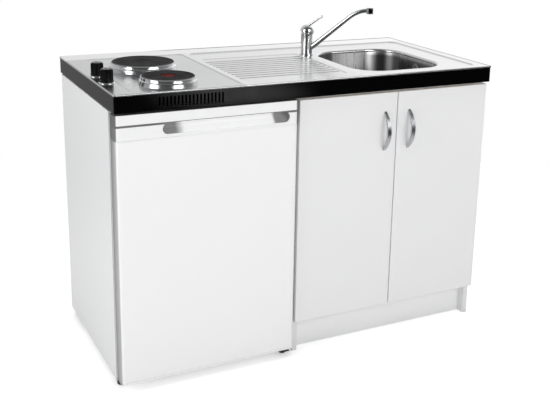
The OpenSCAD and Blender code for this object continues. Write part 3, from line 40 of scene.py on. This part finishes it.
# ---------------------------------------------------------------- node helpers
class Mat:
    """A material built from nodes, with short names for the usual ones."""

    def __init__(self, name, color=(0.8, 0.8, 0.8), rough=0.5, metal=0.0, **more):
        self.m = bpy.data.materials.new(name)
        self.m.use_nodes = True
        self.t = self.m.node_tree
        self.t.nodes.clear()
        self.out = self.t.nodes.new("ShaderNodeOutputMaterial")
        self.b = self.t.nodes.new("ShaderNodeBsdfPrincipled")
        self.t.links.new(self.b.outputs[0], self.out.inputs[0])
        self.set("Base Color", (*color, 1))
        self.set("Roughness", rough)
        self.set("Metallic", metal)
        for k, v in more.items():
            self.set(k.replace("_", " "), v)
        self.normal = None
        self.geo = self.t.nodes.new("ShaderNodeTexCoord")

    def set(self, name, v):
        """One input of the surface, from another socket or as a value."""
        s = self.b.inputs[name]
        if isinstance(v, bpy.types.NodeSocket):
            self.t.links.new(v, s)
        else:
            s.default_value = v

    def colour(self):
        """What the surface's colour comes from so far."""
        return self.b.inputs["Base Color"].links[0].from_socket

    def link(self, a, b):
        if isinstance(a, bpy.types.NodeSocket):
            self.t.links.new(a, b)
        else:
            b.default_value = a

    def coord(self, scale=(1, 1, 1), at=(0, 0, 0)):
        """The part's own coordinates, moved to a point and stretched."""
        m = self.t.nodes.new("ShaderNodeMapping")
        m.vector_type = "TEXTURE"
        m.inputs["Location"].default_value = at
        m.inputs["Scale"].default_value = [1 / s for s in scale]
        self.t.links.new(self.geo.outputs["Object"], m.inputs["Vector"])
        return m.outputs[0]

    def noise(self, scale, detail, rough=0.5, vec=None, distortion=0.0):
        n = self.t.nodes.new("ShaderNodeTexNoise")
        n.inputs["Scale"].default_value = scale
        n.inputs["Detail"].default_value = detail
        n.inputs["Roughness"].default_value = rough
        n.inputs["Distortion"].default_value = distortion
        self.t.links.new(vec or self.geo.outputs["Object"], n.inputs["Vector"])
        return n.outputs["Fac"]

    def cells(self, scale):
        n = self.t.nodes.new("ShaderNodeTexVoronoi")
        n.inputs["Scale"].default_value = scale
        self.t.links.new(self.geo.outputs["Object"], n.inputs["Vector"])
        return n.outputs["Distance"]

    def math(self, op, a, b=0.0, c=0.0):
        n = self.t.nodes.new("ShaderNodeMath")
        n.operation = op
        for i, v in enumerate((a, b, c)):
            self.link(v, n.inputs[i])
        return n.outputs[0]

    def times(self, a, b):
        return self.math("MULTIPLY", a, b)

    def span(self, v, a, b, c, d):
        """v taken from the range a to b into the range c to d, kept inside it."""
        n = self.t.nodes.new("ShaderNodeMapRange")
        for i, x in enumerate((v, a, b, c, d)):
            self.link(x, n.inputs[i])
        return n.outputs[0]

    def axis(self, which, vec=None):
        n = self.t.nodes.new("ShaderNodeSeparateXYZ")
        self.t.links.new(vec or self.geo.outputs["Object"], n.inputs[0])
        return n.outputs[which]

    def radius(self, x, y):
        """Distance from a vertical axis."""
        c = self.coord(at=(x, y, 0))
        return self.math(
            "SQRT",
            self.math(
                "ADD",
                self.math("POWER", self.axis(0, c), 2.0),
                self.math("POWER", self.axis(1, c), 2.0),
            ),
        )

    def mix(self, fac, a, b):
        n = self.t.nodes.new("ShaderNodeMix")
        n.data_type = "RGBA"
        self.link(fac, n.inputs[0])
        for v, s in ((a, n.inputs[6]), (b, n.inputs[7])):
            self.link(v if isinstance(v, bpy.types.NodeSocket) else (*v, 1), s)
        return n.outputs[2]

    def bump(self, height, strength, dist):
        """Fine relief on top of what the normal already has."""
        n = self.t.nodes.new("ShaderNodeBump")
        n.inputs["Strength"].default_value = strength
        n.inputs["Distance"].default_value = dist
        self.t.links.new(height, n.inputs["Height"])
        if self.normal is not None:
            self.t.links.new(self.normal, n.inputs["Normal"])
        self.normal = n.outputs[0]
        self.t.links.new(self.normal, self.b.inputs["Normal"])
        return self

    def lean(self, towards):
        """Shading normal turned a little, as on walls with draft."""
        src = self.t.nodes.new("ShaderNodeNewGeometry").outputs["Normal"]
        add = self.t.nodes.new("ShaderNodeVectorMath")
        add.inputs[1].default_value = towards
        self.t.links.new(src, add.inputs[0])
        unit = self.t.nodes.new("ShaderNodeVectorMath")
        unit.operation = "NORMALIZE"
        self.t.links.new(add.outputs[0], unit.inputs[0])
        self.normal = unit.outputs[0]
        self.t.links.new(self.normal, self.b.inputs["Normal"])
        return self

    def soften(self, radius):
        """Rounded look on sharp edges."""
        n = self.t.nodes.new("ShaderNodeBevel")
        n.samples = 4
        n.inputs["Radius"].default_value = radius
        self.normal = n.outputs[0]
        self.t.links.new(self.normal, self.b.inputs["Normal"])
        return self


def steel(name, color, rough, grain=(2, 260, 260), zones=False, lean=None):
    """Brushed steel; with zones it has painted reflection on the worktop (darker hob field and
    drainer, brighter ledge) and a painted shade line on the turned-down edges.
    """
    m = Mat(name, metal=1.0)
    if lean:
        m.lean(lean)
    else:
        m.soften(0.0006)
    streak = m.noise(1.0, 4, 0.6, m.coord(grain))
    cloud = m.noise(5.0, 2)
    base = m.mix(cloud, (color * 0.95,) * 3, (color, color * 1.003, color * 1.01))
    if zones:
        x, y = m.axis(0), m.axis(1)
        # painted reflection: the hob field and its border are darker than the rest
        hob = m.times(m.span(x, -0.236, -0.228, 1.0, 0.0), m.span(y, 0.216, 0.226, 1.0, 0.0))
        base = m.mix(m.times(hob, 0.62), base, (0.46, 0.465, 0.475))
        # so is the drainer, a little
        well = m.times(m.span(x, -0.215, -0.2, 0.0, 1.0),
                       m.times(m.span(x, 0.13, 0.15, 1.0, 0.0),
                               m.span(y, 0.122, 0.132, 1.0, 0.0)))
        base = m.mix(m.times(well, 0.15), base, (0.5, 0.505, 0.51))
        # painted reflection: the ledge along the back is brighter
        base = m.mix(m.span(y, 0.222, 0.228, 0.0, 0.6), base, (0.95, 0.952, 0.955))
        # painted shade: a thin dark line where the sheet turns down at the back and on the right
        back_shade = m.times(m.span(y, 0.294, 0.296, 0.0, 1.0), m.span(x, -0.33, -0.25, 0.0, 1.0))
        edge_shade = m.math("MAXIMUM", back_shade, m.span(x, 0.592, 0.593, 0.0, 1.0))
        base = m.mix(edge_shade, base, (0.01, 0.01, 0.01))
        m.set("Metallic", m.math("SUBTRACT", 1.0, edge_shade))
        m.set("Specular IOR Level", 0.03)
    m.set("Base Color", base)
    mottle = m.math("ADD", m.times(streak, 0.6), m.times(cloud, 0.4))
    m.set("Roughness", m.span(mottle, 0.3, 0.7, *rough))
    m.bump(streak, 0.03, 0.0002)
    return m


def polished(name, color=(0.78, 0.79, 0.8), rough=(0.03, 0.09)):
    """Plated or bare metal with hardly any grain."""
    m = Mat(name, color, metal=1.0)
    m.soften(0.0004)
    n = m.noise(40, 3)
    m.set("Roughness", m.span(n, 0.3, 0.7, *rough))
    m.bump(m.noise(900, 1), 0.01, 0.0001)
    return m


def board_white(name, tone):
    """White foil on chipboard, slightly pearled."""
    m = Mat(name, rough=0.42, Specular_IOR_Level=0.4)
    m.soften(0.0006)
    n = m.noise(6, 3)
    m.set("Base Color", m.mix(n, (tone * 0.985, tone * 0.988, tone * 0.992), (tone,) * 3))
    m.set("Roughness", m.span(m.noise(60, 2), 0.3, 0.7, 0.36, 0.48))
    m.bump(m.cells(1400), 0.05, 0.0001)
    return m


def enamel(name, tone, rough=0.42):
    """White paint on sheet steel."""
    m = Mat(name, tone, rough)
    m.set("Base Color", m.mix(m.noise(3, 2), tuple(c * 0.985 for c in tone), tone))
    m.set("Roughness", m.span(m.noise(40, 2), 0.3, 0.7, rough - 0.03, rough + 0.04))
    m.bump(m.noise(600, 1), 0.01, 0.0001)
    return m


def plastic(name, tone, rough=0.35, grain=700, depth=0.04, **more):
    """Moulded plastic or painted metal with a fine grain."""
    m = Mat(name, tone, rough, **more)
    m.soften(0.0006)
    m.set("Base Color", m.mix(m.noise(9, 3), tuple(c * 0.95 for c in tone), tone))
    m.set("Roughness", m.span(m.noise(120, 2), 0.3, 0.7, rough - 0.05, rough + 0.06))
    m.bump(m.cells(grain), depth, 0.0002)
    return m


def timber(name):
    m = Mat(name, rough=0.7)
    grain = m.noise(1.0, 6, 0.62, m.coord((3, 70, 70)), 1.2)
    m.set("Base Color", m.mix(grain, (0.62, 0.5, 0.36), (0.8, 0.72, 0.58)))
    m.bump(grain, 0.2, 0.0006)
    return m


def iron(name, y, r, gloss, red):
    """Cast hotplate: turned rings, a worn rim and sometimes a red spot."""
    m = Mat(name, rough=0.5, Specular_IOR_Level=gloss)
    m.soften(0.0008)
    d = m.radius(PLATE_X, y)
    ring = m.math("SINE", m.times(d, 2400.0))
    soft = m.noise(30, 3)
    base = m.mix(soft, (0.01, 0.01, 0.011), (0.018, 0.018, 0.019))
    rim = m.span(d, r - 0.004, r - 0.001, 0.0, 1.0)
    base = m.mix(m.times(rim, 0.6), base, (0.2, 0.2, 0.2))
    if red:
        spot = m.math("LESS_THAN", d, RED_SPOT)
        base = m.mix(spot, base, (0.11, 0.008, 0.007))
    m.set("Base Color", base)
    m.set("Roughness", m.span(soft, 0.3, 0.7, 0.42, 0.58))
    m.bump(ring, 0.25, 0.0002)
    m.bump(m.noise(500, 2), 0.08, 0.0003)
    return m


MATS = {
    "top": steel("steel_top", 0.76, (0.16, 0.27), zones=True),
    "bowl": steel("steel_bowl", 0.74, (0.22, 0.36), (120, 120, 4), lean=(0.06, 0, 0.26)),
    "zinc": steel("zinc_plate", 0.55, (0.25, 0.4), (60, 60, 60)),
    "band": Mat("black_band", (0.0015, 0.0015, 0.0017), 0.08),
    "wood": timber("raw_timber"),
    "iron_rear": iron("iron_rear", *REAR_PLATE, red=False),
    "iron_front": iron("iron_front", *FRONT_PLATE, red=True),
    "chrome": polished("chrome"),
    "bright": polished("bright_ring", (0.7, 0.71, 0.72), (0.08, 0.18)),
    "knob": plastic("knob_black", (0.004, 0.004, 0.004), 0.2, 900, 0.02,
                    Specular_IOR_Level=0.2),
    "beige": plastic("switch_beige", (0.7, 0.68, 0.6), 0.5),
    "brass": polished("brass", (0.72, 0.55, 0.28), (0.2, 0.35)),
    "copper": polished("copper", (0.75, 0.38, 0.22), (0.22, 0.4)),
    "waste": plastic("waste_white", (0.82, 0.82, 0.8), 0.35),
    "board": board_white("board_white", 0.82),
    "door": board_white("door_white", 0.865),
    "plinth": board_white("plinth_white", 0.93),
    "hardboard": plastic("hardboard", (0.75, 0.74, 0.7), 0.6, 300, 0.1),
    "handle": polished("handle_grey", (0.5, 0.51, 0.53), (0.22, 0.34)),
    "enamel": enamel("fridge_enamel", (0.93, 0.93, 0.928)),
    "shell": enamel("fridge_shell", (0.82, 0.825, 0.83), 0.4),
    "strip": enamel("grip_strip", (0.91, 0.912, 0.915), 0.36),
    "liner": plastic("liner_white", (0.85, 0.87, 0.88), 0.25, 400, 0.02),
    "seal": plastic("seal_grey", (0.55, 0.56, 0.57), 0.7, 500, 0.1),
    "clear": plastic("clear_plastic", (0.85, 0.9, 0.93), 0.12, 500, 0.01,
                     Transmission_Weight=0.75, IOR=1.45),
    "glass": plastic("shelf_glass", (0.86, 0.94, 0.92), 0.04, 500, 0.004,
                     Transmission_Weight=0.95, IOR=1.5),
    "black_metal": plastic("black_metal", (0.015, 0.015, 0.016), 0.38, 500, 0.06),
    "foot": plastic("foot_black", (0.01, 0.01, 0.01), 0.5, 500, 0.1),
}
# painted reflection on the bowl: its wall is painted dark at both ends so it reads bright in its
# middle, its floor less so
m = MATS["bowl"]
x, z = m.axis(0), m.axis(2)
wall = m.span(z, 0.71, 0.76, 0.4, 1.0)
left = m.times(m.span(x, 0.25, 0.32, 0.88, 0.0), wall)
m.set("Base Color", m.mix(left, m.colour(), (0.12, 0.12, 0.122)))
below_edge = m.span(z, 0.824, 0.838, 1.0, 0.38)
right = m.times(m.times(m.span(x, 0.36, 0.42, 0.0, 0.92), below_edge), wall)
m.set("Base Color", m.mix(right, m.colour(), (0.05, 0.05, 0.052)))
# the lacquered edge band is nearly even
m = MATS["band"]
m.soften(0.0008)
m.set("Roughness", m.span(m.noise(30, 2), 0.3, 0.7, 0.05, 0.1))
m.bump(m.noise(300, 1), 0.01, 0.0002)

# painted shade on the side face of the refrigerator door: grey, darker towards the seal
for m in (MATS["enamel"], MATS["strip"]):
    side = m.span(m.axis(0), -0.5965, -0.5945, 1.0, 0.0)
    tone = m.span(m.axis(1), -0.291, -0.247, 0.5, 0.22)
    side_shade_grey = m.t.nodes.new("ShaderNodeCombineColor")
    for i in range(3):
        m.link(tone, side_shade_grey.inputs[i])
    m.set("Base Color", m.mix(side, m.colour(), side_shade_grey.outputs[0]))
# shade in the groove and at both ends of the finger recess
m = MATS["strip"]
x, y, z = (m.axis(i) for i in range(3))
inside = m.span(y, -0.2895, -0.2885, 0.0, 1.0)
groove = m.times(m.span(z, 0.7605, 0.7615, 0.0, 1.0), inside)
left = m.span(x, -0.43, -0.405, 1.0, 0.0)
right = m.span(x, -0.148, -0.138, 0.0, 1.0)
both = m.math("MAXIMUM", left, right)
shade = m.math("MAXIMUM", m.times(groove, 0.86), m.times(m.times(both, inside), 0.72))
m.set("Base Color", m.mix(shade, m.colour(), (0.09, 0.09, 0.095)))
# painted light: the recess glows a little between its dark ends, so its white shows
m.set("Emission Color", (1, 1, 1, 1))
bright = m.times(inside, m.math("SUBTRACT", 1.0, both))
m.set("Emission Strength", m.times(m.times(bright, 0.24), m.span(z, 0.76, 0.761, 1.0, 0.0)))

WEAR = {
    "worktop_sheet": "top", "sink_bowl": "bowl", "front_band": "band", "side_bands": "band",
    "support_frame": "wood", "hob_tray": "zinc", "hotplate_rear": "iron_rear",
    "hotplate_front": "iron_front", "spill_ring_rear": "bright", "spill_ring_front": "bright",
    "hob_switches": "beige", "knob_bezels": "chrome", "knob_rear": "knob", "knob_front": "knob",
    "tap_body": "chrome", "tap_spout": "chrome", "tap_aerator": "chrome",
    "tap_turret": "chrome", "tap_lever": "chrome", "tap_fixing": "brass", "tap_tails": "copper",
    "waste_flange": "bright", "strainer_basket": "bright", "waste_body": "waste",
    "trap_body": "waste", "outlet_pipe": "waste", "overflow_grid": "bright",
    "overflow_pipe": "waste", "partition_panel": "board", "right_side_panel": "board",
    "cabinet_floor": "board", "plinth": "plinth", "front_rail": "board", "back_rail": "board",
    "back_panel": "hardboard", "cabinet_door_left": "door", "cabinet_door_right": "door",
    "handle_left": "handle", "handle_right": "handle", "hinge_cups_left": "zinc",
    "hinge_cups_right": "zinc", "hinge_arms": "zinc", "fridge_body": "shell",
    "fridge_liner": "liner", "fridge_door_panel": "enamel", "fridge_grip_strip": "strip",
    "fridge_door_liner": "liner", "door_gasket": "seal", "door_racks": "clear",
    "bottle_rack": "clear", "glass_shelves": "glass", "crisper": "clear", "icebox": "liner",
    "icebox_flap": "liner", "thermostat_housing": "liner", "thermostat_knob": "liner",
    "compressor": "black_metal", "condenser": "black_metal", "fridge_hinges": "black_metal",
    "fridge_feet": "foot",
}
for name, key in WEAR.items():
    o = bpy.data.objects[name]
    o.data.materials.clear()
    o.data.materials.append(MATS[key].m)

# ---------------------------------------------------------------- floor and light
floor_mesh = bpy.data.meshes.new("floor")
corners = [(x * FLOOR_REACH, y * FLOOR_REACH, 0) for x, y in ((-1, -1), (1, -1), (1, 1), (-1, 1))]
floor_mesh.from_pydata(corners, [], [(0, 1, 2, 3)])
floor = bpy.data.objects.new("floor", floor_mesh)
floor.location.z = -FLOOR_DROP
bpy.context.scene.collection.objects.link(floor)
fl = Mat("floor", (0.9, 0.9, 0.9), 0.7, Specular_IOR_Level=0.1)
# plain white beyond two metres, with the part's own shadow near it
far = fl.span(fl.radius(0, 0), 1.1, 2.2, 0.0, 1.0)
glow = fl.t.nodes.new("ShaderNodeEmission")
path = fl.t.nodes.new("ShaderNodeLightPath")
# what polished faces see of the floor: a light patch in front, dark beside it
patch = fl.span(fl.radius(1.2, -3.85), 0.1, 0.62, 1.3, 0.0)
ahead = fl.span(fl.axis(1), -1.6, -0.6, 0.0, 1.0)
seen = fl.mix(ahead, fl.mix(patch, (0.0, 0.0, 0.0), (1.0, 1.0, 1.0)), (0.25, 0.25, 0.25))
fl.link(fl.mix(path.outputs["Is Glossy Ray"], (1, 1, 1), seen), glow.inputs["Color"])
lift = fl.t.nodes.new("ShaderNodeEmission")
fl.link(fl.times(path.outputs["Is Camera Ray"], 0.42), lift.inputs["Strength"])
near = fl.t.nodes.new("ShaderNodeAddShader")
fl.t.links.new(fl.b.outputs[0], near.inputs[0])
fl.t.links.new(lift.outputs[0], near.inputs[1])
whole = fl.t.nodes.new("ShaderNodeMixShader")
fl.link(far, whole.inputs[0])
fl.t.links.new(near.outputs[0], whole.inputs[1])
fl.t.links.new(glow.outputs[0], whole.inputs[2])
fl.t.links.new(whole.outputs[0], fl.out.inputs[0])
floor_mesh.materials.append(fl.m)

# ---------------------------------------------------------------- surroundings
scene = bpy.context.scene
world = bpy.data.worlds.new("studio")
scene.world = world
world.use_nodes = True
wt = world.node_tree
wt.nodes.clear()
w_out, w_bg, w_cam, w_mix, w_path, w_tex, w_sep, w_mul = (
    wt.nodes.new("ShaderNode" + kind)
    for kind in ("OutputWorld", "Background", "Background", "MixShader", "LightPath", "TexCoord",
                 "SeparateXYZ", "Mix")
)
wt.links.new(w_tex.outputs["Generated"], w_sep.inputs[0])


def ramp(axis, stops):
    """Grey level of the surroundings along one direction."""
    span = wt.nodes.new("ShaderNodeMapRange")
    span.inputs[1].default_value = -1.0
    span.inputs[2].default_value = 1.0
    wt.links.new(w_sep.outputs[axis], span.inputs[0])
    r = wt.nodes.new("ShaderNodeValToRGB")
    while len(r.color_ramp.elements) < len(stops):
        r.color_ramp.elements.new(0.5)
    for e, (at, v) in zip(r.color_ramp.elements, stops):
        e.position, e.color = (at + 1) / 2, (v, v, v, 1)
    wt.links.new(span.outputs[0], r.inputs[0])
    return r.outputs[0]


# the part sees a studio that is dark in front and bright behind; the camera sees plain white
w_mul.data_type, w_mul.blend_type = "RGBA", "MULTIPLY"
w_mul.inputs[0].default_value = 1.0
wt.links.new(ramp("Y", [(-1, 0.1), (-0.1, 0.25), (0.4, 0.9), (1, 1.0)]), w_mul.inputs[6])
wt.links.new(ramp("X", [(-1, 0.45), (0.1, 0.62), (0.45, 0.85), (0.65, 1.0)]), w_mul.inputs[7])
wt.links.new(w_mul.outputs[2], w_bg.inputs[0])
w_bg.inputs[1].default_value = 1.2
w_cam.inputs[0].default_value = (1, 1, 1, 1)
wt.links.new(w_path.outputs["Is Camera Ray"], w_mix.inputs[0])
wt.links.new(w_bg.outputs[0], w_mix.inputs[1])
wt.links.new(w_cam.outputs[0], w_mix.inputs[2])
wt.links.new(w_mix.outputs[0], w_out.inputs[0])


def lamp(name, at, to, power, w, h, glossy=True):
    """Soft rectangular light of so many watts, aimed at a point."""
    d = bpy.data.lights.new(name, "AREA")
    d.shape = "RECTANGLE"
    d.size, d.size_y, d.energy = w, h, power
    o = bpy.data.objects.new(name, d)
    o.location = at
    o.visible_glossy = glossy
    o.rotation_euler = (Vector(to) - Vector(at)).to_track_quat("-Z", "Y").to_euler()
    scene.collection.objects.link(o)


lamp("key", (1.2, -3.9, 2.4), (0, 0, 0.4), 60, 2.6, 2.2)
lamp("left", (-3.6, -0.9, 1.8), (0, 0, 0.4), 48, 1.8, 2.4)
lamp("top", (0.0, -0.2, 3.6), (0, 0, 0.8), 40, 2.8, 1.8, glossy=False)
lamp("fill", (-2.1, -3.7, 1.3), (0, 0, 0.5), 24, 1.2, 1.2, glossy=False)

# ---------------------------------------------------------------- camera
cam = bpy.data.cameras.new("camera")
cam.sensor_width = SENSOR
cam.lens = FOCAL / PHOTO_WIDTH * SENSOR
cam.shift_x = LENS_SHIFT[0] / PHOTO_WIDTH
cam.shift_y = LENS_SHIFT[1] / PHOTO_WIDTH
cam.clip_start = 0.05
cam.clip_end = 60.0
fwd = Vector((math.sin(YAW) * math.cos(PITCH), math.cos(YAW) * math.cos(PITCH), -math.sin(PITCH)))
level = Vector((math.cos(YAW), -math.sin(YAW), 0))
upright = level.cross(fwd)
across = level * math.cos(ROLL) + upright * math.sin(ROLL)
up = -level * math.sin(ROLL) + upright * math.cos(ROLL)
cam_obj = bpy.data.objects.new("camera", cam)
cam_obj.matrix_world = Matrix((
    (across.x, up.x, -fwd.x, EYE[0]),
    (across.y, up.y, -fwd.y, EYE[1]),
    (across.z, up.z, -fwd.z, EYE[2]),
    (0, 0, 0, 1),
))
scene.collection.objects.link(cam_obj)
scene.camera = cam_obj
scene.view_settings.view_transform = "Standard"
